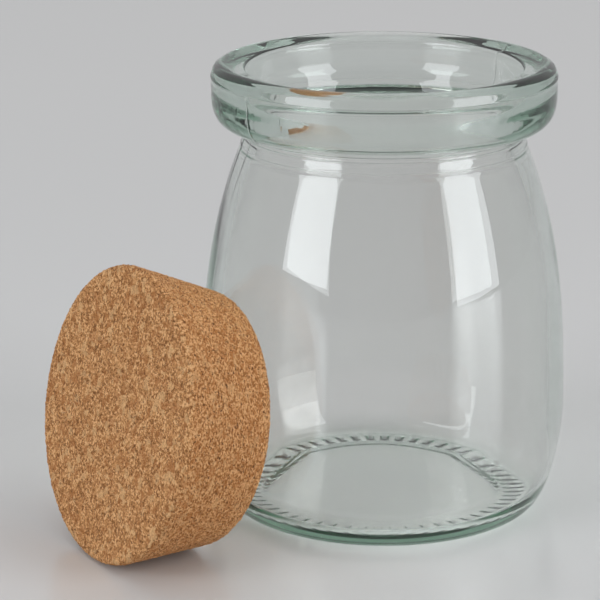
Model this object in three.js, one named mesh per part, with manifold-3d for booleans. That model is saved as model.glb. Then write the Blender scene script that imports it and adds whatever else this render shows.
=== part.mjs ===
// Clear glass pudding jar, open and empty, with its tapered cork lid lying beside it.
// Millimetres, +Z up. The jar stands on the ribs under its base ring and the cork lies on its flank.
// The origin is under the middle of the pair, on the table.

import * as THREE from 'three';
import Module from 'manifold-3d';
import { mergeVertices } from 'three/addons/utils/BufferGeometryUtils.js';

// Jar, outside. Heights are measured up from the table.
const JAR_HEIGHT = 80.8;
const CROWN_RADIUS = 28.3;
const CROWN_ROUNDING = 0.9;
const CREASE_RADIUS = 30;
const CREASE_Z = 79.85;
const CREASE_ROUNDING = 0.35;
const RIM_RADIUS = 30.45;
const RIM_WIDEST_Z = 78.3;
const RIM_SIDE_Z = 75;
const RIM_FOOT_Z = 69.35;
const NECK_RADIUS = 24.5;
const NECK_ROUNDING = 1;
const NECK_FOOT_RADIUS = 24.6;
const NECK_FOOT_Z = 67.9;
const SHOULDER_TOP_RADIUS = 25.35;
const SHOULDER_TOP_Z = 66.1;
const SHOULDER_ANGLE = THREE.MathUtils.degToRad(21);
const SHOULDER_REACH = 13.6;
const BELLY_RADIUS = 32.8;
const BELLY_Z = 18.4;
const BELLY_REACH_UP = 23;
const BELLY_REACH_DOWN = 6;
const HEEL_REACH = 3.4;

// Jar, base. The ring between the ribs stays clear of the table by the ribs' height.
const RING_OUTER_RADIUS = 27;
const RING_INNER_RADIUS = 22.4;
const RING_Z = 0.3;
const RING_REACH = 1.5;
const HOLLOW_RADIUS = 19;
const HOLLOW_REACH = 2;
const HOLLOW_Z = 0.7;
const RIB_COUNT = 54;
const RIB_INNER_RADIUS = 22.8;
const RIB_OUTER_RADIUS = 25.8;
const RIB_FOOT_WIDTH = 0.9;
const RIB_ROOT_WIDTH = 1.7;
const RIB_ROOT_Z = 1.1;

// Jar, inside.
const MOUTH_RADIUS = 24.4;
const MOUTH_Z = 79.7;
const MOUTH_ROUNDING = 0.5;
const SEAT_RADIUS = 24.1;
const SEAT_Z = 75.2;
const SEAT_ROUNDING = 0.8;
const THROAT_RADIUS = 21.9;
const THROAT_Z = 71;
const THROAT_ROUNDING = 1.5;
const THROAT_REACH_DOWN = 6;
const INNER_BELLY_RADIUS = 30.2;
const INNER_BELLY_Z = 19;
const INNER_BELLY_REACH_UP = 36;
const INNER_BELLY_REACH_DOWN = 12;
const FLOOR_RADIUS = 26;
const FLOOR_REACH = 2.5;
const FLOOR_Z = 3;
const FLOOR_RISE = 0.3;

// Cork lid, and where the middle of its large face lies from the jar's axis.
const CORK_LARGE_RADIUS = 26.1;
const CORK_SMALL_RADIUS = 22.15;
const CORK_THICKNESS = 18.7;
const CORK_EDGE = 1.9;
const CORK_X = -47;
const CORK_Y = -29.7;
const CORK_TURN = THREE.MathUtils.degToRad(31.2);

// Roundness of the facets.
const JAR_SIDES = 72;
const CORK_SIDES = 60;
const CURVE_STEPS = 6;

// Lengths of the rim's handles, under it and up its side, as shares of that corner.
const UNDER_HANDLE = 0.72;
const SIDE_HANDLE = 0.62;

const wasm = await Module();
wasm.setup();

// A solid for joining, from a closed geometry placed in the jar's frame.
function toSolid(geometry) {
  const bare = geometry.clone();
  bare.deleteAttribute('normal');
  bare.deleteAttribute('uv');
  const welded = mergeVertices(bare);
  return new wasm.Manifold(new wasm.Mesh({
    numProp: 3,
    vertProperties: new Float32Array(welded.attributes.position.array),
    triVerts: new Uint32Array(welded.index.array),
  }));
}

function toGeometry(solid) {
  const mesh = solid.getMesh();
  const geometry = new THREE.BufferGeometry();
  geometry.setAttribute('position', new THREE.BufferAttribute(mesh.vertProperties, 3));
  geometry.setIndex(new THREE.BufferAttribute(mesh.triVerts, 1));
  geometry.computeVertexNormals();
  return geometry;
}

// A line to a corner that turns towards the next point and is rounded over that reach on both sides.
function bendAt(path, radius, z, onRadius, onZ, reach) {
  const turn = new THREE.Vector2(radius, z);
  const before = path.currentPoint.clone().sub(turn).setLength(reach).add(turn);
  const after = new THREE.Vector2(onRadius, onZ).sub(turn).setLength(reach).add(turn);
  const middle = before.clone().add(after).multiplyScalar(0.25).addScaledVector(turn, 0.5);
  path.lineTo(before.x, before.y);
  path.lineTo(middle.x, middle.y);
  path.lineTo(after.x, after.y);
}

// The base from its middle to the outer edge of its ring, and the body up to the top of its shoulder.
function drawBody(path) {
  const leanR = SHOULDER_REACH * Math.sin(SHOULDER_ANGLE);
  const leanZ = SHOULDER_REACH * Math.cos(SHOULDER_ANGLE);
  path.moveTo(0, HOLLOW_Z);
  path.lineTo(HOLLOW_RADIUS, HOLLOW_Z);
  path.bezierCurveTo(
    HOLLOW_RADIUS + HOLLOW_REACH, HOLLOW_Z,
    RING_INNER_RADIUS - RING_REACH, RING_Z,
    RING_INNER_RADIUS, RING_Z,
  );
  path.lineTo(RING_OUTER_RADIUS, RING_Z);
  path.bezierCurveTo(
    RING_OUTER_RADIUS + HEEL_REACH, RING_Z,
    BELLY_RADIUS, BELLY_Z - BELLY_REACH_DOWN,
    BELLY_RADIUS, BELLY_Z,
  );
  path.bezierCurveTo(
    BELLY_RADIUS, BELLY_Z + BELLY_REACH_UP,
    SHOULDER_TOP_RADIUS + leanR, SHOULDER_TOP_Z - leanZ,
    SHOULDER_TOP_RADIUS, SHOULDER_TOP_Z,
  );
}

// The neck and the rim, from the top of the shoulder over the crown to its slope into the mouth.
function drawRim(path) {
  path.lineTo(NECK_FOOT_RADIUS, NECK_FOOT_Z);
  bendAt(path, NECK_RADIUS, RIM_FOOT_Z, RIM_RADIUS, RIM_FOOT_Z, NECK_ROUNDING);
  const footRadius = path.currentPoint.x;
  path.bezierCurveTo(
    footRadius + (RIM_RADIUS - footRadius) * UNDER_HANDLE, RIM_FOOT_Z,
    RIM_RADIUS, RIM_SIDE_Z - (RIM_SIDE_Z - RIM_FOOT_Z) * SIDE_HANDLE,
    RIM_RADIUS, RIM_SIDE_Z,
  );
  path.lineTo(RIM_RADIUS, RIM_WIDEST_Z);
  bendAt(path, CREASE_RADIUS, CREASE_Z, CROWN_RADIUS, JAR_HEIGHT, CREASE_ROUNDING);
  bendAt(path, CROWN_RADIUS, JAR_HEIGHT, MOUTH_RADIUS, MOUTH_Z, CROWN_ROUNDING);
}

// The inside, from the crown through the seat of the cork and the throat to the middle of the floor.
function drawInside(path) {
  bendAt(path, MOUTH_RADIUS, MOUTH_Z, SEAT_RADIUS, SEAT_Z, MOUTH_ROUNDING);
  bendAt(path, SEAT_RADIUS, SEAT_Z, THROAT_RADIUS, THROAT_Z, SEAT_ROUNDING);
  bendAt(path, THROAT_RADIUS, THROAT_Z, THROAT_RADIUS, 0, THROAT_ROUNDING);
  path.bezierCurveTo(
    THROAT_RADIUS, path.currentPoint.y - THROAT_REACH_DOWN,
    INNER_BELLY_RADIUS, INNER_BELLY_Z + INNER_BELLY_REACH_UP,
    INNER_BELLY_RADIUS, INNER_BELLY_Z,
  );
  path.bezierCurveTo(
    INNER_BELLY_RADIUS, INNER_BELLY_Z - INNER_BELLY_REACH_DOWN,
    FLOOR_RADIUS + FLOOR_REACH, FLOOR_Z,
    FLOOR_RADIUS, FLOOR_Z,
  );
  path.quadraticCurveTo(FLOOR_RADIUS / 2, FLOOR_Z + FLOOR_RISE, 0, FLOOR_Z + FLOOR_RISE);
}

// One short radial rib under the base ring, wider at its root in the glass than at its foot.
function ribSolid(angle) {
  const shape = new THREE.Shape();
  shape.moveTo(-RIB_FOOT_WIDTH / 2, 0);
  shape.lineTo(RIB_FOOT_WIDTH / 2, 0);
  shape.lineTo(RIB_ROOT_WIDTH / 2, RIB_ROOT_Z);
  shape.lineTo(-RIB_ROOT_WIDTH / 2, RIB_ROOT_Z);
  shape.closePath();
  const rib = new THREE.ExtrudeGeometry(shape, {
    depth: RIB_OUTER_RADIUS - RIB_INNER_RADIUS,
    bevelEnabled: false,
  });
  rib.translate(0, 0, RIB_INNER_RADIUS);
  rib.rotateX(Math.PI / 2);
  rib.rotateZ(Math.PI / 2 + angle);
  return toSolid(rib);
}

function makeJar() {
  const section = new THREE.Path();
  drawBody(section);
  drawRim(section);
  drawInside(section);
  const lathe = new THREE.LatheGeometry(section.getPoints(CURVE_STEPS), JAR_SIDES);
  lathe.rotateX(Math.PI / 2);
  let solid = toSolid(lathe);
  for (let i = 0; i < RIB_COUNT; i += 1) {
    solid = solid.add(ribSolid((i / RIB_COUNT) * Math.PI * 2));
  }
  const glass = new THREE.MeshStandardMaterial({
    color: 0xdfeae6,
    roughness: 0.02,
    metalness: 0,
    transparent: true,
    opacity: 0.35,
  });
  const jar = new THREE.Mesh(toGeometry(solid), glass);
  jar.name = 'jar';
  return jar;
}

// Half of the cork's section, from the middle of its large face to the middle of its small one.
function corkSection() {
  const taper = (CORK_LARGE_RADIUS - CORK_SMALL_RADIUS) / CORK_THICKNESS;
  const shrink = CORK_EDGE * taper;
  const path = new THREE.Path();
  path.moveTo(0, 0);
  path.lineTo(CORK_LARGE_RADIUS - CORK_EDGE, 0);
  path.quadraticCurveTo(CORK_LARGE_RADIUS, 0, CORK_LARGE_RADIUS - shrink, CORK_EDGE);
  path.lineTo(CORK_SMALL_RADIUS + shrink, CORK_THICKNESS - CORK_EDGE);
  path.quadraticCurveTo(CORK_SMALL_RADIUS, CORK_THICKNESS, CORK_SMALL_RADIUS - CORK_EDGE, CORK_THICKNESS);
  path.lineTo(0, CORK_THICKNESS);
  return path.getPoints(CURVE_STEPS);
}

// The cork lies with one flat of its flank on the table, so its axis dips towards the small face.
function makeCork() {
  const flat = Math.cos(Math.PI / CORK_SIDES);
  const dip = Math.atan2((CORK_LARGE_RADIUS - CORK_SMALL_RADIUS) * flat, CORK_THICKNESS);
  const lathe = new THREE.LatheGeometry(corkSection(), CORK_SIDES, Math.PI / CORK_SIDES);
  lathe.rotateZ(-Math.PI / 2);
  const corkSkin = new THREE.MeshStandardMaterial({ color: 0xb98556, roughness: 0.9, metalness: 0 });
  const cork = new THREE.Mesh(lathe, corkSkin);
  cork.name = 'cork_lid';
  cork.rotation.y = dip;
  const turned = new THREE.Group();
  turned.add(cork);
  turned.rotation.z = CORK_TURN;
  turned.position.set(CORK_X, CORK_Y, CORK_LARGE_RADIUS * flat * Math.cos(dip));
  return turned;
}

// The pair is moved so that the middle of its footprint stands at the origin.
const pair = new THREE.Group();
pair.add(makeJar());
pair.add(makeCork());
const box = new THREE.Box3().setFromObject(pair, true);
const middle = box.getCenter(new THREE.Vector3());
pair.position.set(-middle.x, -middle.y, -box.min.z);

const part = new THREE.Group();
part.add(pair);

export default part;
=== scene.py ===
# %% [markdown]
# # A glass pudding jar and its cork lid
#
# The object is a small jar of clear, faintly green glass, open and empty, with the tapered lid of
# pressed cork granules lying on its flank beside it. The solids of both come in as a fixed frame, in
# metres, and nothing here moves them. The lesson makes a finer mesh of each in the same place, gives
# it a finish, and then builds a small product studio round the pair.

# %% Load the frame
from math import atan2, cos, pi, radians, sin

import bpy
import numpy as np
from mathutils import Matrix, Vector


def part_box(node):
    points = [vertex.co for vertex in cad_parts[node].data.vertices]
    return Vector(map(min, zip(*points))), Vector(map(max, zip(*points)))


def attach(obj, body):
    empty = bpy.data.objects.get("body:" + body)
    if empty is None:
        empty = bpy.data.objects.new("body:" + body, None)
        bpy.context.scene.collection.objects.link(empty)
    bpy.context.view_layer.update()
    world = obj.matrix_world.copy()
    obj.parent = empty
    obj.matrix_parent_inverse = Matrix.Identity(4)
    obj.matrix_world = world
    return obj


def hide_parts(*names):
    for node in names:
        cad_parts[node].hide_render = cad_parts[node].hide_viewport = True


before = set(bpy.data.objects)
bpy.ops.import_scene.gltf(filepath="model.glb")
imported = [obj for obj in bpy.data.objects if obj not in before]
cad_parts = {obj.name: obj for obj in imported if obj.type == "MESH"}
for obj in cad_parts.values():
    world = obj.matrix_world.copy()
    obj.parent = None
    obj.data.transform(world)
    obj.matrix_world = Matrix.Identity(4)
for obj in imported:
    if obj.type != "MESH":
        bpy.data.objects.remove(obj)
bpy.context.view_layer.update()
MM = 0.001
print("solids:", sorted(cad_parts))

# %% [markdown]
# ## Where things stand
#
# The jar is a body of revolution, so its axis is the middle of its solid's box. The camera, the lights
# and the cork are all placed from that axis, in millimetres, as one would measure them on a table.

# %% The jar's axis
jar_low, jar_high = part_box("jar")
JAR_AXIS = Vector(((jar_low.x + jar_high.x) / 2, (jar_low.y + jar_high.y) / 2, jar_low.z))


def from_axis(x, y, z):
    """A point given in millimetres from the foot of the jar's axis, in the frame's metres."""
    return JAR_AXIS + Vector((x, y, z)) * MM


print("jar axis at", [round(value / MM, 2) for value in JAR_AXIS])

# %% [markdown]
# ## The camera
#
# The picture was taken with a long lens from a little above the rim, which keeps the jar's sides
# nearly upright and shows the mouth as a flat oval. The lens is given as its focal length in pixels of
# the 600 pixel picture, which turns into millimetres on Blender's 36 mm sensor.

# %% Camera
PICTURE_PX = 600
FOCAL_PX = 2600
SENSOR_MM = 36
CAMERA_X = -14.9
CAMERA_Y = -449.1
CAMERA_Z = 169.3
CAMERA_PITCH = radians(-16.42)
CAMERA_ROLL = radians(-0.21)

camera_data = bpy.data.cameras.new("camera")
camera_data.sensor_width = SENSOR_MM
camera_data.lens = FOCAL_PX / PICTURE_PX * SENSOR_MM
camera = bpy.data.objects.new("camera", camera_data)
bpy.context.scene.collection.objects.link(camera)
level_view = Matrix.Rotation(pi / 2 + CAMERA_PITCH, 4, "X")
camera.matrix_world = (
    Matrix.Translation(from_axis(CAMERA_X, CAMERA_Y, CAMERA_Z))
    @ level_view
    @ Matrix.Rotation(CAMERA_ROLL, 4, "Z")
)
bpy.context.scene.camera = camera
print("lens", round(camera_data.lens, 1), "mm")

# %% [markdown]
# ## Drawing a half section
#
# Both pieces are turned shapes. A half section drawn as radius and height, stretch by stretch, is the
# plainest way to hold such a form: straight stretches are lines and round ones are cubic curves, and
# each stretch says how many steps it takes, so that the mesh is fine only where the form bends.

# %% Half sections
ROUND = 0.55


class Section:
    """A half section of a turned piece, as points of radius and height in millimetres."""

    def __init__(self, radius, z):
        self.points = [np.array((radius, z), float)]

    def line_to(self, radius, z, steps=1):
        start = self.points[-1]
        end = np.array((radius, z), float)
        for t in np.linspace(0, 1, steps + 1)[1:]:
            self.points.append(start + (end - start) * t)

    def curve_to(self, handle_a, handle_b, end, steps):
        start = self.points[-1]
        a, b, end = (np.array(point, float) for point in (handle_a, handle_b, end))
        for t in np.linspace(0, 1, steps + 1)[1:]:
            s = 1 - t
            self.points.append(s**3 * start + 3 * s * s * t * a + 3 * s * t * t * b + t**3 * end)

    def bend_at(self, corner, onward, reach, steps):
        """A line to a corner, rounded over that reach on both sides, that turns to the next point."""
        start = self.points[-1]
        corner, onward = np.array(corner, float), np.array(onward, float)
        before = corner + (start - corner) * reach / np.linalg.norm(start - corner)
        after = corner + (onward - corner) * reach / np.linalg.norm(onward - corner)
        self.line_to(*before, steps=3)
        self.curve_to(before + (corner - before) * ROUND, after + (corner - after) * ROUND, after, steps)

    def ridge_to(self, radius, z, height):
        """A fine ridge of that height across the way to the next point."""
        r0, z0 = self.points[-1]
        lift = height / 0.75
        quarter = (z - z0) / 4
        self.curve_to((r0 + lift, z0 + quarter), (radius + lift, z - quarter), (radius, z), 6)

    def count(self):
        return len(self.points)


# %% [markdown]
# ## The jar's outside
#
# The jar has a slightly hollow base with a ring to stand on, a rounded heel, a body that is widest low
# down and leans in to a short neck, and a thick rim. The rim's crown has a narrow bevel outside and dips
# a little towards the mouth. Fine ridges run round the rim's widest line and the foot of the neck, where
# the parts of the mould met. Every size is the solid's own.

# %% Outside of the jar
JAR_HEIGHT = 80.8
CROWN_RADIUS = 28.3
CROWN_ROUNDING = 0.9
MOUTH_RADIUS = 24.4
MOUTH_Z = 79.7
CREASE_RADIUS = 30.0
CREASE_Z = 79.85
CREASE_ROUNDING = 0.35
RIM_RADIUS = 30.45
RIM_WIDEST_Z = 78.3
RIM_SIDE_Z = 75.0
RIM_FOOT_Z = 69.35
NECK_RADIUS = 24.5
NECK_ROUNDING = 1.0
NECK_FOOT_RADIUS = 24.6
NECK_FOOT_Z = 67.9
SHOULDER_TOP_RADIUS = 25.35
SHOULDER_TOP_Z = 66.1
SHOULDER_ANGLE = radians(21)
SHOULDER_REACH = 13.6
BELLY_RADIUS = 32.8
BELLY_Z = 18.4
BELLY_REACH_UP = 23.0
BELLY_REACH_DOWN = 6.0
HEEL_REACH = 3.4
RING_Z = 0.3
RING_INNER_RADIUS = 22.4
RING_OUTER_RADIUS = 27.0
RING_REACH = 1.5
HOLLOW_Z = 0.7
HOLLOW_RADIUS = 19.0
HOLLOW_REACH = 2.0
RIDGE_HEIGHT = 0.06
RIDGE_WIDTH = 0.4
UNDER_HANDLE = 0.72
SIDE_HANDLE = 0.62


def draw_base(section):
    section.line_to(HOLLOW_RADIUS, HOLLOW_Z, 5)
    section.curve_to(
        (HOLLOW_RADIUS + HOLLOW_REACH, HOLLOW_Z),
        (RING_INNER_RADIUS - RING_REACH, RING_Z),
        (RING_INNER_RADIUS, RING_Z),
        8,
    )
    section.line_to(RING_OUTER_RADIUS, RING_Z, 12)


def draw_body(section):
    lean_r = SHOULDER_REACH * sin(SHOULDER_ANGLE)
    lean_z = SHOULDER_REACH * cos(SHOULDER_ANGLE)
    section.curve_to(
        (RING_OUTER_RADIUS + HEEL_REACH, RING_Z),
        (BELLY_RADIUS, BELLY_Z - BELLY_REACH_DOWN),
        (BELLY_RADIUS, BELLY_Z),
        14,
    )
    section.curve_to(
        (BELLY_RADIUS, BELLY_Z + BELLY_REACH_UP),
        (SHOULDER_TOP_RADIUS + lean_r, SHOULDER_TOP_Z - lean_z),
        (SHOULDER_TOP_RADIUS, SHOULDER_TOP_Z),
        24,
    )
    section.ridge_to(SHOULDER_TOP_RADIUS - 0.1, SHOULDER_TOP_Z + RIDGE_WIDTH, RIDGE_HEIGHT)


def draw_rim(section):
    section.line_to(NECK_FOOT_RADIUS, NECK_FOOT_Z, 3)
    section.ridge_to(NECK_FOOT_RADIUS, NECK_FOOT_Z + RIDGE_WIDTH, RIDGE_HEIGHT)
    section.bend_at((NECK_RADIUS, RIM_FOOT_Z), (RIM_RADIUS, RIM_FOOT_Z), NECK_ROUNDING, 5)
    foot_radius = section.points[-1][0]
    section.curve_to(
        (foot_radius + (RIM_RADIUS - foot_radius) * UNDER_HANDLE, RIM_FOOT_Z),
        (RIM_RADIUS, RIM_SIDE_Z - (RIM_SIDE_Z - RIM_FOOT_Z) * SIDE_HANDLE),
        (RIM_RADIUS, RIM_SIDE_Z),
        14,
    )
    section.line_to(RIM_RADIUS, RIM_WIDEST_Z - RIDGE_WIDTH / 2, 3)
    section.ridge_to(RIM_RADIUS, RIM_WIDEST_Z + RIDGE_WIDTH / 2, RIDGE_HEIGHT)
    section.bend_at((CREASE_RADIUS, CREASE_Z), (CROWN_RADIUS, JAR_HEIGHT), CREASE_ROUNDING, 5)
    section.bend_at((CROWN_RADIUS, JAR_HEIGHT), (MOUTH_RADIUS, MOUTH_Z), CROWN_ROUNDING, 6)


outside = Section(0, HOLLOW_Z)
draw_base(outside)
draw_body(outside)
draw_rim(outside)
print("outside:", outside.count(), "points, up to", outside.points[-1])

# %% [markdown]
# ## The jar's inside
#
# The mouth has a short upright seat for the cork and then narrows to the throat, the narrowest place.
# Below it the wall opens out at an even two and a half millimetres. The floor is flat out to a tight
# corner at the heel, so that the ribs under it show through clear glass all round.

# %% Inside of the jar
MOUTH_EDGE = 0.5
SEAT_RADIUS = 24.1
SEAT_Z = 75.2
SEAT_ROUNDING = 0.8
THROAT_RADIUS = 21.9
THROAT_Z = 71.0
THROAT_ROUNDING = 1.5
THROAT_REACH_DOWN = 6.0
INNER_BELLY_RADIUS = 30.2
INNER_BELLY_Z = 19.0
INNER_BELLY_REACH_UP = 36.0
INNER_BELLY_REACH_DOWN = 12.0
FLOOR_RADIUS = 26.0
FLOOR_REACH = 2.5
FLOOR_Z = 3.0
FLOOR_RISE = 0.3


def draw_mouth(section):
    section.bend_at((MOUTH_RADIUS, MOUTH_Z), (SEAT_RADIUS, SEAT_Z), MOUTH_EDGE, 6)
    section.bend_at((SEAT_RADIUS, SEAT_Z), (THROAT_RADIUS, THROAT_Z), SEAT_ROUNDING, 5)
    section.bend_at((THROAT_RADIUS, THROAT_Z), (THROAT_RADIUS, 0), THROAT_ROUNDING, 6)


def draw_inner_body(section):
    throat_foot = section.points[-1][1]
    section.curve_to(
        (THROAT_RADIUS, throat_foot - THROAT_REACH_DOWN),
        (INNER_BELLY_RADIUS, INNER_BELLY_Z + INNER_BELLY_REACH_UP),
        (INNER_BELLY_RADIUS, INNER_BELLY_Z),
        24,
    )
    section.curve_to(
        (INNER_BELLY_RADIUS, INNER_BELLY_Z - INNER_BELLY_REACH_DOWN),
        (FLOOR_RADIUS + FLOOR_REACH, FLOOR_Z),
        (FLOOR_RADIUS, FLOOR_Z),
        14,
    )
    middle_z = FLOOR_Z + FLOOR_RISE
    section.curve_to((FLOOR_RADIUS * 2 / 3, middle_z), (FLOOR_RADIUS / 3, middle_z), (0, middle_z), 6)


inside = Section(*outside.points[-1])
draw_mouth(inside)
draw_inner_body(inside)
print("inside:", inside.count(), "points, down to", inside.points[-1])

# %% [markdown]
# ## Turning the section
#
# Blender's Screw modifier could turn the section, but the ribs and the mould seams vary round the
# circle. So the points are laid out as a grid of rows and columns with numpy, pushed about where those
# details are, and only then made into a mesh. The two end rows lie on the axis and are single points.

# %% A turned grid


def turn(name, radius, z, angles):
    """A closed turned mesh from grids of radius and height in millimetres, one row per section point."""
    rows, columns = radius.shape[0] - 2, len(angles)
    grid = np.stack([radius * np.cos(angles), radius * np.sin(angles), z], axis=-1)
    points = np.concatenate([grid[0, :1], grid[1:-1].reshape(-1, 3), grid[-1, :1]])
    here = 1 + np.arange(rows * columns).reshape(rows, columns)
    beside = np.roll(here, -1, axis=1)
    quads = np.stack([here[:-1], beside[:-1], beside[1:], here[1:]], axis=-1).reshape(-1, 4)
    first = [(0, b, a) for a, b in zip(here[0], beside[0])]
    last = [(len(points) - 1, a, b) for a, b in zip(here[-1], beside[-1])]
    mesh = bpy.data.meshes.new(name)
    mesh.from_pydata(points * MM, [], [*first, *quads.tolist(), *last])
    mesh.shade_smooth()
    piece = bpy.data.objects.new(name, mesh)
    bpy.context.scene.collection.objects.link(piece)
    return piece


def ease(low, high, value):
    """0 below low, 1 above high, and a smooth rise between."""
    t = np.clip((value - low) / (high - low), 0, 1)
    return t * t * (3 - 2 * t)


# %% [markdown]
# ## Ribs, seams and the unevenness of pressed glass
#
# Fifty-four short radial ribs under the ring keep the jar's hot base off the belt. The halves of the
# body's mould, and those of the rim's, each leave a hairline ridge on opposite sides. The inside was
# blown, not pressed, so its wall is never quite round, and the reflections on it bend a little. All of
# them are real shape, because clear glass shows its shape far more than its colour.

# %% Details round the circle
RIB_COUNT = 54
COLUMNS_PER_RIB = 8
RIB_INNER_RADIUS = 22.8
RIB_OUTER_RADIUS = 25.8
RIB_ROUNDING = 0.6
RIM_SEAMS = (radians(-141), radians(39))
BODY_SEAMS = (radians(-172), radians(8))
SEAM_HEIGHT = 0.08
SEAM_WIDTH = 0.16
SEAM_COLUMNS = (-0.5, -0.3, -0.2, -0.1, 0, 0.1, 0.2, 0.3, 0.5)
WAVES = ((2, 0.05, 0.07), (3, 0.09, 0.05), (5, -0.13, 0.03), (7, 0.21, 0.015))
PEEL_HEIGHT = 0.016
PEEL_SEED = 7


def rib_drop(radius, angle):
    """How far the ribs reach down from the ring, from 0 between them to 1 on top of each."""
    across = ease(-0.5, 0.7, np.cos(RIB_COUNT * angle))
    along = ease(RIB_INNER_RADIUS - RIB_ROUNDING, RIB_INNER_RADIUS + RIB_ROUNDING, radius)
    along = along * (1 - ease(RIB_OUTER_RADIUS - RIB_ROUNDING, RIB_OUTER_RADIUS + RIB_ROUNDING, radius))
    return across * along


def seam_rise(radius, z, angle):
    """The ridges of the mould seams: the rim's end at its widest line, and the body's fade downwards."""
    on_rim = ease(RIM_FOOT_Z + 0.5, RIM_FOOT_Z + 1.5, z) * (1 - ease(RIM_WIDEST_Z - 0.5, RIM_WIDEST_Z, z))
    below_rim = ease(1.5, 6, z) * (1 - ease(RIM_FOOT_Z - 0.5, RIM_FOOT_Z, z))
    on_body = (0.06 + 0.94 * ease(56, 68, z)) * below_rim
    rise = 0
    for seams, strength in ((RIM_SEAMS, on_rim), (BODY_SEAMS, on_body)):
        for seam in seams:
            away = (angle - seam + pi) % (2 * pi) - pi
            rise = rise + strength * np.exp(-((away * radius / SEAM_WIDTH) ** 2))
    return SEAM_HEIGHT * rise


def blown_unevenness(z, angle):
    """The slow waves of the blown inside, which die out at the mouth and on the floor."""
    wave = 0
    for turns, slope, height in WAVES:
        wave = wave + height * np.sin(turns * angle + slope * z + 1.7 * turns)
    return wave * ease(FLOOR_Z + 1, FLOOR_Z + 12, z) * (1 - ease(THROAT_Z - 8, THROAT_Z + 2, z))


def peel(radius, z):
    """The fine unevenness under the rim, where the glass left the mould while it was still soft."""
    grain = np.random.default_rng(PEEL_SEED).normal(size=radius.shape)
    under_rim = ease(NECK_RADIUS, NECK_RADIUS + 1, radius) * ease(RIM_FOOT_Z - 1, RIM_FOOT_Z, z)
    return PEEL_HEIGHT * grain * under_rim * (1 - ease(RIM_FOOT_Z + 0.2, RIM_FOOT_Z + 1.2, z))


seam_spread = np.array(SEAM_COLUMNS) / RIM_RADIUS
angles = np.arange(RIB_COUNT * COLUMNS_PER_RIB) / (RIB_COUNT * COLUMNS_PER_RIB) * 2 * pi
seam_angles = [(seam + seam_spread) % (2 * pi) for seam in RIM_SEAMS + BODY_SEAMS]
angles = np.unique(np.concatenate([angles, *seam_angles]))
print("columns:", len(angles))

# %% The jar's mesh
section = np.array(outside.points + inside.points[1:])
radius = np.repeat(section[:, :1], len(angles), axis=1)
z = np.repeat(section[:, 1:], len(angles), axis=1)
is_outside = (np.arange(len(section)) < outside.count())[:, None]
is_base = is_outside & (z < HOLLOW_Z)
z_ribbed = np.where(is_base, z - RING_Z * rib_drop(radius, angles), z)
z_ribbed = np.where(is_outside, z_ribbed + peel(radius, z), z_ribbed)
radius = np.where(is_outside, radius + seam_rise(radius, z, angles), radius + blown_unevenness(z, angles))
jar = turn("jar_glass", radius, z_ribbed, angles)
jar.location = JAR_AXIS
print("jar:", len(jar.data.polygons), "faces")

# %% [markdown]
# ## Soda-lime glass
#
# The glass is clear, and its faint green comes from iron in the sand, so it shows only where the eye
# looks through a lot of it: along the rim and in the base. That is a volume, not a surface colour, so
# a plain Volume Absorption carries the tint. The light that the jar bends onto the table isn't all that
# reaches it, so rays cast towards lamps also go straight through a Transparent shader, which takes a
# share of them at each surface.

# %% Glass
GLASS_IOR = 1.52
GLASS_ROUGHNESS = 0.0
GLASS_CLEARNESS = (0.985, 0.965, 0.968, 1)
GLASS_TINT = (0.2, 0.5, 0.34, 1)
GLASS_DENSITY = 33
LAMP_TINT = (0.68, 0.68, 0.68, 1)


def glass_material():
    material = bpy.data.materials.new("soda_lime_glass")
    material.use_nodes = True
    nodes = material.node_tree.nodes
    links = material.node_tree.links
    glass = nodes["Principled BSDF"]
    glass.inputs["Base Color"].default_value = GLASS_CLEARNESS
    glass.inputs["Roughness"].default_value = GLASS_ROUGHNESS
    glass.inputs["IOR"].default_value = GLASS_IOR
    glass.inputs["Transmission Weight"].default_value = 1
    lamps = nodes.new("ShaderNodeBsdfTransparent")
    lamps.inputs["Color"].default_value = LAMP_TINT
    path = nodes.new("ShaderNodeLightPath")
    mix = nodes.new("ShaderNodeMixShader")
    tint = nodes.new("ShaderNodeVolumeAbsorption")
    tint.inputs["Color"].default_value = GLASS_TINT
    tint.inputs["Density"].default_value = GLASS_DENSITY
    output = nodes["Material Output"]
    links.new(path.outputs["Is Shadow Ray"], mix.inputs["Fac"])
    links.new(glass.outputs["BSDF"], mix.inputs[1])
    links.new(lamps.outputs["BSDF"], mix.inputs[2])
    links.new(mix.outputs["Shader"], output.inputs["Surface"])
    links.new(tint.outputs["Volume"], output.inputs["Volume"])
    return material


jar.data.materials.append(glass_material())
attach(jar, "root")
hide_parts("jar")
print("glass density", GLASS_DENSITY)

# %% [markdown]
# ## The cork lid's block
#
# The lid is a short cone frustum with worn edges. It lies on its flank, so its axis dips towards the
# small end by the flank's slope. A turned mesh would crowd its points at the middle of both faces, so
# a Remesh modifier lays even little squares over it, fine enough to carry the granules.

# %% Cork block
CORK_SIDES = 60
CORK_FLAT = cos(pi / CORK_SIDES)
CORK_LARGE_RADIUS = 26.1 * CORK_FLAT
CORK_SMALL_RADIUS = 22.15 * CORK_FLAT
CORK_THICKNESS = 18.7
CORK_EDGE = 1.5
CORK_X = -47.0
CORK_Y = -29.7
CORK_TURN = radians(31.2)
CORK_DIP = atan2(CORK_LARGE_RADIUS - CORK_SMALL_RADIUS, CORK_THICKNESS)
CORK_GRID = 0.28
CORK_COLUMNS = 240


def cork_section():
    section = Section(0, 0)
    section.bend_at((CORK_LARGE_RADIUS, 0), (CORK_SMALL_RADIUS, CORK_THICKNESS), CORK_EDGE, 8)
    section.bend_at((CORK_SMALL_RADIUS, CORK_THICKNESS), (0, CORK_THICKNESS), CORK_EDGE, 8)
    section.line_to(0, CORK_THICKNESS)
    return np.array(section.points)


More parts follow.
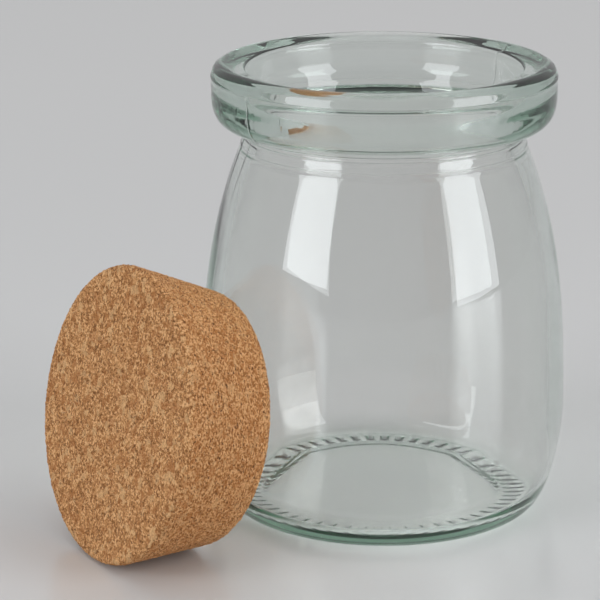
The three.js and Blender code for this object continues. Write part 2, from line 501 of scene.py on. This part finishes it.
def applied(piece):
    """The piece with its modifiers made part of its mesh."""
    seen = piece.evaluated_get(bpy.context.evaluated_depsgraph_get())
    mesh = bpy.data.meshes.new_from_object(seen)
    piece.modifiers.clear()
    piece.data = mesh
    return piece


cork_angles = np.arange(CORK_COLUMNS) / CORK_COLUMNS * 2 * pi
block = cork_section()
cork = turn(
    "cork_stopper",
    np.repeat(block[:, :1], CORK_COLUMNS, axis=1),
    np.repeat(block[:, 1:], CORK_COLUMNS, axis=1),
    cork_angles,
)
remesh = cork.modifiers.new("even_squares", "REMESH")
remesh.mode = "VOXEL"
remesh.voxel_size = CORK_GRID * MM
remesh.use_smooth_shade = True
applied(cork)
print("cork block:", len(cork.data.polygons), "faces")

# %% [markdown]
# ## Pressed granules
#
# Pressed cork is ground bark: crumbs a few millimetres across among much finer ones, squeezed along the
# lid's axis and glued, with tiny dark pores between them. So the grain runs across the axis on the flank
# and looks even on the two faces. Noise gives the fine crumbs and the pores, and a Voronoi texture on
# warped coordinates the large crumbs. The same few nodes are used twice: in Geometry Nodes, to sink the
# pores into the mesh, and in the shader, to colour it.

# %% Granule nodes
SQUEEZE = 1.7
CRUMB_MM = 1.2
WARP_REACH = 0.4
FINE_SCALE = 2.1
PORE_SCALE = 1.8
PORE_START = 0.575
PORE_FULL = 0.66


def link(tree, out_socket, in_socket):
    tree.links.new(out_socket, in_socket)


def math_node(tree, operation, first, second=None, third=None):
    """A Math node; each input is a number or a socket."""
    node = tree.nodes.new("ShaderNodeMath")
    node.operation = operation
    for socket, value in zip(node.inputs, (first, second, third)):
        if isinstance(value, (int, float)):
            socket.default_value = value
        elif value is not None:
            link(tree, value, socket)
    return node.outputs[0]


def vector_node(tree, operation, first, second=None, scale=None):
    node = tree.nodes.new("ShaderNodeVectorMath")
    node.operation = operation
    for socket, value in zip(node.inputs, (first, second)):
        if isinstance(value, tuple):
            socket.default_value = value
        elif value is not None:
            link(tree, value, socket)
    if scale is not None:
        node.inputs["Scale"].default_value = scale
    return node.outputs["Vector"]


def step_node(tree, value, low, high, smooth=True):
    """0 at low and 1 at high, with a smooth rise between."""
    node = tree.nodes.new("ShaderNodeMapRange")
    node.interpolation_type = "SMOOTHSTEP" if smooth else "LINEAR"
    node.inputs["From Min"].default_value = low
    node.inputs["From Max"].default_value = high
    link(tree, value, node.inputs["Value"])
    return node.outputs["Result"]


def noise_node(tree, vector, scale, detail=2.0, roughness=0.5):
    node = tree.nodes.new("ShaderNodeTexNoise")
    node.inputs["Scale"].default_value = scale
    node.inputs["Detail"].default_value = detail
    node.inputs["Roughness"].default_value = roughness
    link(tree, vector, node.inputs["Vector"])
    return node


def voronoi_node(tree, vector, feature, scale=1.0):
    node = tree.nodes.new("ShaderNodeTexVoronoi")
    node.feature = feature
    node.inputs["Scale"].default_value = scale
    link(tree, vector, node.inputs["Vector"])
    return node


def grain(tree, place):
    """The crumb's three random numbers at that place, the fine crumbs' shade and the pores."""
    pressed = vector_node(tree, "MULTIPLY", place, (1 / MM, 1 / MM, SQUEEZE / MM))
    fine = noise_node(tree, pressed, FINE_SCALE, 3.0, 0.7)
    warp = vector_node(tree, "SUBTRACT", fine.outputs["Color"], (0.5, 0.5, 0.5))
    warped = vector_node(tree, "ADD", pressed, vector_node(tree, "SCALE", warp, scale=2 * WARP_REACH))
    crumb = voronoi_node(tree, warped, "F1", 1 / CRUMB_MM)
    owner = "Function" if tree.type == "GEOMETRY" else "Shader"
    split = tree.nodes.new(owner + "NodeSeparateColor")
    link(tree, crumb.outputs["Color"], split.inputs[0])
    holes = noise_node(tree, vector_node(tree, "ADD", pressed, (40.0, 20.0, 60.0)), PORE_SCALE, 2.0, 0.6)
    pore = step_node(tree, holes.outputs[0], PORE_START, PORE_FULL)
    return split.outputs, fine.outputs[0], pore


# %% Granule relief
PORE_DEPTH = 0.26
FINE_DEPTH = 0.30
CRUMB_DEPTH = 0.06


def relief_group():
    tree = bpy.data.node_groups.new("granule_relief", "GeometryNodeTree")
    tree.interface.new_socket("Geometry", in_out="INPUT", socket_type="NodeSocketGeometry")
    tree.interface.new_socket("Geometry", in_out="OUTPUT", socket_type="NodeSocketGeometry")
    start = tree.nodes.new("NodeGroupInput")
    end = tree.nodes.new("NodeGroupOutput")
    position = tree.nodes.new("GeometryNodeInputPosition").outputs[0]
    normal = tree.nodes.new("GeometryNodeInputNormal").outputs["Normal"]
    chance, fine, pore = grain(tree, position)
    depth = math_node(tree, "MULTIPLY", pore, PORE_DEPTH)
    depth = math_node(tree, "MULTIPLY_ADD", chance[1], CRUMB_DEPTH, depth)
    depth = math_node(tree, "MULTIPLY_ADD", step_node(tree, fine, 0.7, 0.3, False), FINE_DEPTH, depth)
    inward = tree.nodes.new("ShaderNodeVectorMath")
    inward.operation = "SCALE"
    link(tree, normal, inward.inputs[0])
    link(tree, math_node(tree, "MULTIPLY", depth, -MM), inward.inputs["Scale"])
    move = tree.nodes.new("GeometryNodeSetPosition")
    link(tree, start.outputs[0], move.inputs["Geometry"])
    link(tree, inward.outputs["Vector"], move.inputs["Offset"])
    link(tree, move.outputs["Geometry"], end.inputs[0])
    return tree


relief = cork.modifiers.new("granule_relief", "NODES")
relief.node_group = relief_group()
applied(cork)
cork.data.shade_smooth()
print("granules sunk up to", round(PORE_DEPTH + FINE_DEPTH + CRUMB_DEPTH, 2), "mm")

# %% [markdown]
# ## Laying the lid down
#
# The lid is turned about its own axis first, so it still stands on its large face. Its place on the table
# goes into the mesh itself, and the object stays at the origin, as the solids do. The shader then maps
# the frame's coordinates back into the lid's own, where the grain was made.

# %% Lay the cork down
lay = Matrix.Translation(from_axis(CORK_X, CORK_Y, CORK_LARGE_RADIUS * cos(CORK_DIP)))
lay = lay @ Matrix.Rotation(CORK_TURN, 4, "Z") @ Matrix.Rotation(CORK_DIP + pi / 2, 4, "Y")
cork.data.transform(lay)
bpy.context.view_layer.update()
print("cork dips", round(CORK_DIP * 180 / pi, 1), "degrees")

# %% [markdown]
# ## Cork's colour
#
# The fine crumbs run from brown to pale straw. A large crumb shifts all of its fine ones a little, a few
# are plain and pale, and a few are red-brown. The pores are dark, and the flank, which was ground to its
# taper, shows more contrast than the faces, which were cut. The flank is also mixed towards a darker
# red-brown, which is partly its own colour and partly painted shade that offsets the ceiling light on
# it. Cork is matt, with hardly any gloss.

# %% Cork
CORK_SHADES = (
    (0.00, (0.230, 0.089, 0.027)),
    (0.30, (0.430, 0.194, 0.068)),
    (0.55, (0.563, 0.271, 0.103)),
    (0.80, (0.685, 0.360, 0.152)),
    (1.00, (0.815, 0.490, 0.240)),
)
PALE_CRUMB = (0.730, 0.445, 0.215, 1)
RED_CRUMB = (0.400, 0.150, 0.045, 1)
PORE_COLOUR = (0.130, 0.047, 0.016, 1)
# Partly painted shade: a darker red-brown for the flank, partly its own colour and partly offsetting the
# ceiling light that falls on it.
FLANK_COLOUR_AND_PAINTED_SHADE = (0.520, 0.190, 0.045, 1)
FINE_CONTRAST = 5.0
FLANK_CONTRAST = 4.5


def ramp_node(tree, value, stops):
    node = tree.nodes.new("ShaderNodeValToRGB")
    elements = node.color_ramp.elements
    while len(elements) < len(stops):
        elements.new(0.5)
    for element, (place, colour) in zip(elements, stops):
        element.position = place
        element.color = (*colour, 1)
    link(tree, value, node.inputs["Fac"])
    return node.outputs["Color"]


def mix_node(tree, share, first, second):
    """A colour between first and second; either may be a colour or a socket."""
    node = tree.nodes.new("ShaderNodeMix")
    node.data_type = "RGBA"
    for socket, value in zip((node.inputs[0], node.inputs[6], node.inputs[7]), (share, first, second)):
        if isinstance(value, (tuple, int, float)):
            socket.default_value = value
        else:
            link(tree, value, socket)
    return node.outputs[2]


def flank_mask(tree, place):
    """0 on the two faces and 1 on the flank, from the height along the lid's axis."""
    split = tree.nodes.new("ShaderNodeSeparateXYZ")
    link(tree, place, split.inputs[0])
    height = split.outputs["Z"]
    above = step_node(tree, height, 0.5 * MM, CORK_EDGE * MM)
    below = step_node(tree, height, (CORK_THICKNESS - 0.5) * MM, (CORK_THICKNESS - CORK_EDGE) * MM)
    return math_node(tree, "MULTIPLY", above, below)


def cork_place(tree):
    """The place in the lid's own axes, before it was laid down."""
    back = tree.nodes.new("ShaderNodeMapping")
    back.vector_type = "TEXTURE"
    back.inputs["Location"].default_value = lay.to_translation()
    back.inputs["Rotation"].default_value = lay.to_euler()
    link(tree, tree.nodes.new("ShaderNodeTexCoord").outputs["Object"], back.inputs["Vector"])
    return back.outputs["Vector"]


def cork_material():
    material = bpy.data.materials.new("pressed_cork")
    material.use_nodes = True
    tree = material.node_tree
    skin = tree.nodes["Principled BSDF"]
    place = cork_place(tree)
    chance, fine, pore = grain(tree, place)
    flank = flank_mask(tree, place)
    contrast = math_node(tree, "MULTIPLY_ADD", flank, FLANK_CONTRAST, FINE_CONTRAST)
    contrast = math_node(tree, "MULTIPLY", contrast, step_node(tree, chance[2], -0.6, 0.6))
    shade = math_node(tree, "MULTIPLY_ADD", math_node(tree, "SUBTRACT", fine, 0.5), contrast, 0.5)
    shade = math_node(tree, "MULTIPLY_ADD", math_node(tree, "SUBTRACT", chance[1], 0.5), 0.34, shade)
    colour = ramp_node(tree, shade, CORK_SHADES)
    pale = math_node(tree, "MULTIPLY", step_node(tree, chance[0], 0.86, 0.90), 0.55)
    colour = mix_node(tree, pale, colour, PALE_CRUMB)
    red = math_node(tree, "MULTIPLY", step_node(tree, chance[0], 0.18, 0.14), 0.5)
    colour = mix_node(tree, red, colour, RED_CRUMB)
    # Painted shade in part: the flank is mixed towards a darker red-brown, partly its own colour and
    # partly offsetting the ceiling light on it.
    colour = mix_node(tree, math_node(tree, "MULTIPLY", flank, 0.28), colour, FLANK_COLOUR_AND_PAINTED_SHADE)
    dark = math_node(tree, "MULTIPLY", pore, math_node(tree, "MULTIPLY_ADD", flank, 0.3, 0.7))
    colour = mix_node(tree, dark, colour, PORE_COLOUR)
    link(tree, colour, skin.inputs["Base Color"])
    link(tree, step_node(tree, fine, -1.5, 1.2, False), skin.inputs["Roughness"])
    bump = tree.nodes.new("ShaderNodeBump")
    bump.inputs["Strength"].default_value = 0.5
    bump.inputs["Distance"].default_value = 0.12 * MM
    link(tree, fine, bump.inputs["Height"])
    link(tree, bump.outputs["Normal"], skin.inputs["Normal"])
    skin.inputs["Specular IOR Level"].default_value = 0.2
    return material


cork.data.materials.clear()
cork.data.materials.append(cork_material())
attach(cork, "root")
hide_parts("cork_lid")
print("cork shades:", len(CORK_SHADES))

# %% [markdown]
# ## Table and backdrop
#
# The pair stands on a pale table with a faint shine, in front of a plain pale wall. The wall is far
# enough back that a camera may walk all round the object.

# %% Stage
TABLE_SIDE = 2600
WALL_Y = 1250
WALL_HEIGHT = 1300
TABLE_COLOUR = (0.72, 0.715, 0.715, 1)
WALL_GLOW = (0.525, 0.525, 0.53, 1)


def sheet_mesh(name, corners):
    mesh = bpy.data.meshes.new(name)
    mesh.from_pydata([from_axis(*corner) for corner in corners], [], [(0, 1, 2, 3)])
    piece = bpy.data.objects.new(name, mesh)
    bpy.context.scene.collection.objects.link(piece)
    return piece


def table_material():
    material = bpy.data.materials.new("pale_table")
    material.use_nodes = True
    skin = material.node_tree.nodes["Principled BSDF"]
    skin.inputs["Base Color"].default_value = TABLE_COLOUR
    skin.inputs["Roughness"].default_value = 0.2
    skin.inputs["Specular IOR Level"].default_value = 0.6
    return material


def wall_material():
    material = bpy.data.materials.new("pale_wall")
    material.use_nodes = True
    tree = material.node_tree
    glow = tree.nodes.new("ShaderNodeEmission")
    glow.inputs["Color"].default_value = WALL_GLOW
    link(tree, glow.outputs["Emission"], tree.nodes["Material Output"].inputs["Surface"])
    return material


half = TABLE_SIDE / 2
table = sheet_mesh("table", [(-half, -half, 0), (half, -half, 0), (half, half, 0), (-half, half, 0)])
table.data.materials.append(table_material())
wall_foot = [(-half, WALL_Y, 0), (half, WALL_Y, 0)]
wall_top = [(half, WALL_Y, WALL_HEIGHT), (-half, WALL_Y, WALL_HEIGHT)]
wall = sheet_mesh("wall", wall_foot + wall_top)
wall.data.materials.append(wall_material())
print("table", TABLE_SIDE, "mm wide")

# %% [markdown]
# ## Lights
#
# Two upright softboxes stand in front of the jar to the left and right, and their long white strips
# show on the glass. A wide ceiling light fills the table with soft shadows. The glass also shows the room
# itself, which only the glass needs to see: pale at the back and the sides, dim behind the viewer and
# nearly dark above the viewer, so that the strips stand out and the mouth's front edge has a dark line.

# %% Softboxes
SOFTBOX_AWAY = 2000
SOFTBOX_TOP = 1700
SOFTBOX_LEFT_TURN = radians(-54.4)
SOFTBOX_LEFT_WIDTH = 1170
SOFTBOX_LEFT_FOOT = 160
SOFTBOX_RIGHT_TURN = radians(62)
SOFTBOX_RIGHT_WIDTH = 1160
SOFTBOX_RIGHT_FOOT = 5
SOFTBOX_GLOW = 4.5
SOFTBOX_COLOUR = (0.96, 0.995, 1.02)
CEILING_SIDE = 3000
CEILING_Z = 1500
CEILING_GLOW = 0.7
ROOM_BEHIND_VIEWER = (0.2, 0.2, 0.203, 1)
ROOM_OVER_VIEWER = (0.04, 0.04, 0.041, 1)
ROOM_SIDES = (0.42, 0.42, 0.426, 1)


def area_light(name, place, aim, width, height, glow):
    """An area light of that brightness per area, whatever its size, facing aim."""
    data = bpy.data.lights.new(name, "AREA")
    data.shape = "RECTANGLE"
    data.size = width * MM
    data.size_y = height * MM
    data.energy = glow * pi * data.size * data.size_y
    light = bpy.data.objects.new(name, data)
    bpy.context.scene.collection.objects.link(light)
    light.location = place
    light.rotation_euler = (aim - place).to_track_quat("-Z", "Y").to_euler()
    light.visible_camera = False
    return light


def softbox(name, turn_angle, width, foot):
    """An upright softbox at the jar's front; a turn of 0 is straight towards the viewer."""
    middle_z = (foot + SOFTBOX_TOP) / 2
    place = from_axis(SOFTBOX_AWAY * sin(turn_angle), -SOFTBOX_AWAY * cos(turn_angle), middle_z)
    light = area_light(name, place, from_axis(0, 0, middle_z), width, SOFTBOX_TOP - foot, SOFTBOX_GLOW)
    light.data.color = SOFTBOX_COLOUR
    return light


def ceiling_light():
    """A wide light overhead; what it looks like in the glass is left to the room."""
    place = from_axis(0, 0, CEILING_Z)
    light = area_light("ceiling", place, JAR_AXIS, CEILING_SIDE, CEILING_SIDE, CEILING_GLOW)
    light.data.cycles.use_multiple_importance_sampling = False
    return light


def room_world():
    """The room round the table: its glow by direction, for the glass alone."""
    world = bpy.data.worlds.new("studio_room")
    world.use_nodes = True
    tree = world.node_tree
    split = tree.nodes.new("ShaderNodeSeparateXYZ")
    link(tree, tree.nodes.new("ShaderNodeTexCoord").outputs["Generated"], split.inputs[0])
    around = step_node(tree, split.outputs["Y"], -0.6, 0.0)
    above = step_node(tree, split.outputs["Z"], 0.3, 0.6)
    behind = mix_node(tree, above, ROOM_BEHIND_VIEWER, ROOM_OVER_VIEWER)
    link(tree, mix_node(tree, around, behind, ROOM_SIDES), tree.nodes["Background"].inputs["Color"])
    bpy.context.scene.world = world
    world.cycles_visibility.diffuse = False


softbox("softbox_left", SOFTBOX_LEFT_TURN, SOFTBOX_LEFT_WIDTH, SOFTBOX_LEFT_FOOT)
softbox("softbox_right", SOFTBOX_RIGHT_TURN, SOFTBOX_RIGHT_WIDTH, SOFTBOX_RIGHT_FOOT)
ceiling_light()
room_world()

# %% [markdown]
# ## Paths of light
#
# A view through the rim crosses many surfaces of glass, so rays may bend more often than Blender lets
# them by default. Light that the glass bends onto the table is kept. The glints that it would mirror
# there are left out, because they are faint and grainy.

# %% Light paths and colour
scene = bpy.context.scene
scene.cycles.max_bounces = 32
scene.cycles.transmission_bounces = 32
scene.cycles.glossy_bounces = 12
scene.cycles.transparent_max_bounces = 24
scene.cycles.caustics_reflective = False
scene.cycles.caustics_refractive = True
scene.view_settings.view_transform = "Standard"
